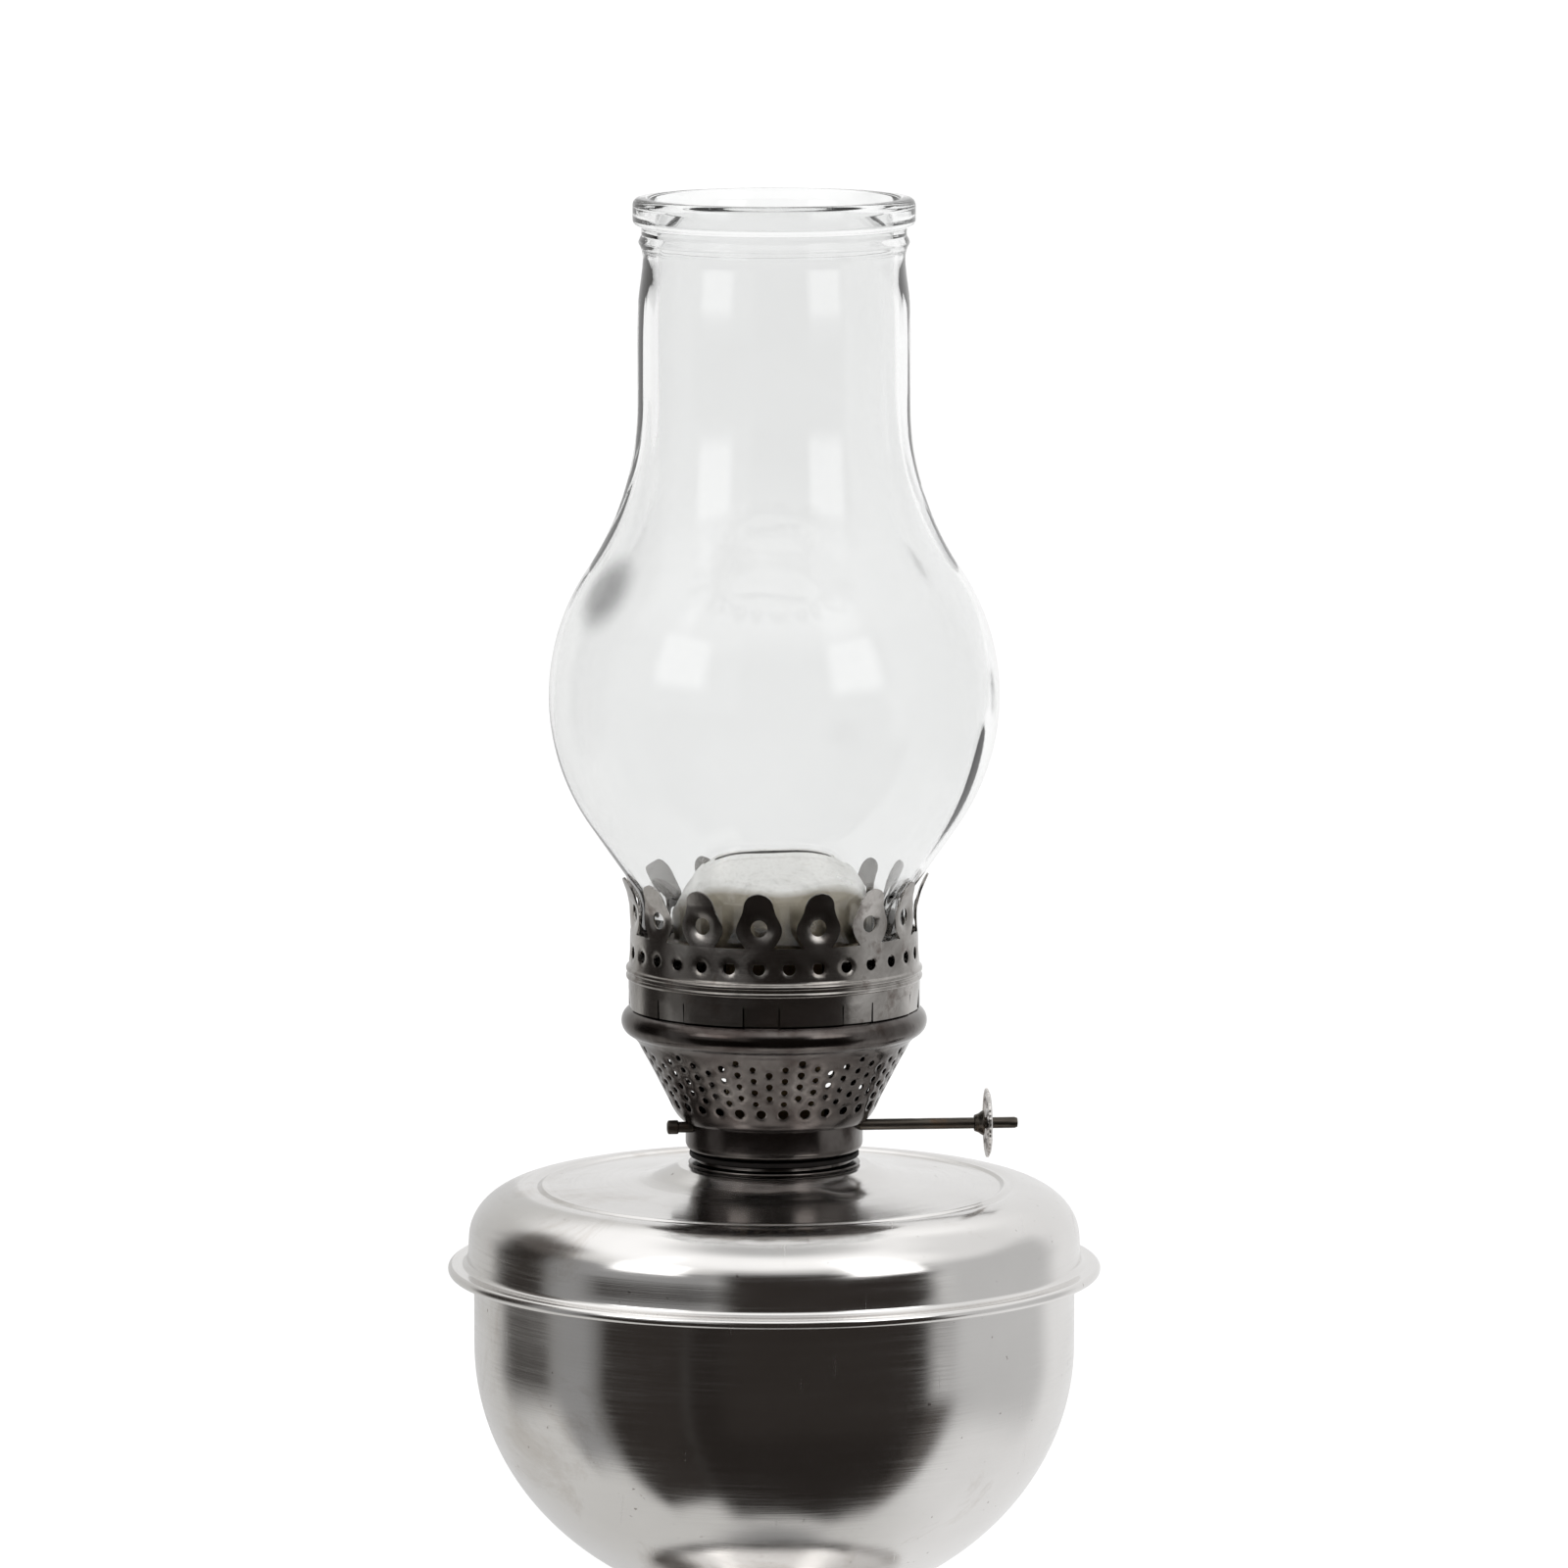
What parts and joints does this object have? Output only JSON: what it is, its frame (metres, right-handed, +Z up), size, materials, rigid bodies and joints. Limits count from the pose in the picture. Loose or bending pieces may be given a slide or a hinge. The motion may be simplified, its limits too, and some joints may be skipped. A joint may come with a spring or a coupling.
{
  "type": "table kerosene lamp",
  "caption": "Table kerosene lamp: spun-metal pedestal font, screw-in flat-wick burner with a pronged gallery and slotted dome, and an open bulbous glass chimney.",
  "frame": {"origin": "on the lamp's axis in the plane that the foot stands on", "axes": "+Z up along the lamp's axis, +X along the wick spindle towards its thumbwheel"},
  "size_m": [0.1864, 0.1864, 0.4695],
  "materials": {
    "font_metal": "polished tinned sheet, finely scratched",
    "burner_metal": "tarnished nickel plate",
    "dome_metal": "satin, heat-stained",
    "brass": "dull",
    "steel": "oxidised",
    "wheel_metal": "worn nickel plate",
    "cotton": "woven",
    "gasket": "oiled",
    "glass": "clear, blown"
  },
  "bodies": {
    "font": {"foot_shell": "font_metal", "stem_ring": "font_metal", "font_stud": "steel", "foot_washer": "steel", "foot_nut": "steel", "font_bowl": "font_metal", "font_top": "font_metal", "font_collar": "burner_metal"},
    "gasket": {"collar_gasket": "gasket"},
    "burner": {"burner_base": "burner_metal", "burner_basket": "burner_metal", "wick_tube": "brass", "spindle_housing": "brass", "vent_tube": "brass"},
    "raiser": {"spindle": "steel", "spur_wheel_left": "steel", "spur_wheel_middle": "steel", "spur_wheel_right": "steel", "thumbwheel": "wheel_metal", "thumbwheel_hub": "steel"},
    "wick": {"wick": "cotton"},
    "gallery": {"gallery_ring": "burner_metal", "diffuser_plate": "burner_metal", "deflector_dome": "dome_metal"},
    "chimney": {"chimney_glass": "glass"}
  },
  "joints": [
    {"name": "burner_rise", "type": "slide", "parent": "font", "child": "gasket", "axis": [0, 0, 1], "range_m": [0, 0.0091]},
    {"name": "burner_unscrew", "type": "hinge", "parent": "gasket", "child": "burner", "pos_m": [0, 0, 0.1976], "axis": [0, 0, 1], "range_deg": [0, 1350]},
    {"name": "wick_turn", "type": "hinge", "parent": "burner", "child": "raiser", "pos_m": [0, -0.007, 0.2054], "axis": [1, 0, 0], "range_deg": [-180, 90]},
    {"name": "wick_lift", "type": "slide", "parent": "burner", "child": "wick", "axis": [0, 0, 1], "range_m": [-0.0138, 0.0069]},
    {"name": "gallery_lift", "type": "slide", "parent": "burner", "child": "gallery", "axis": [0, 0, 1], "range_m": [0, 0.04]},
    {"name": "chimney_lift", "type": "slide", "parent": "gallery", "child": "chimney", "axis": [0, 0, 1], "range_m": [0, 0.06]}
  ],
  "couplings": [
    {"joint": "burner_rise", "follows": "burner_unscrew", "m_per_rad": 0.00038197},
    {"joint": "wick_turn", "follows": "wick_lift", "rad_per_m": 227.27}
  ]
}
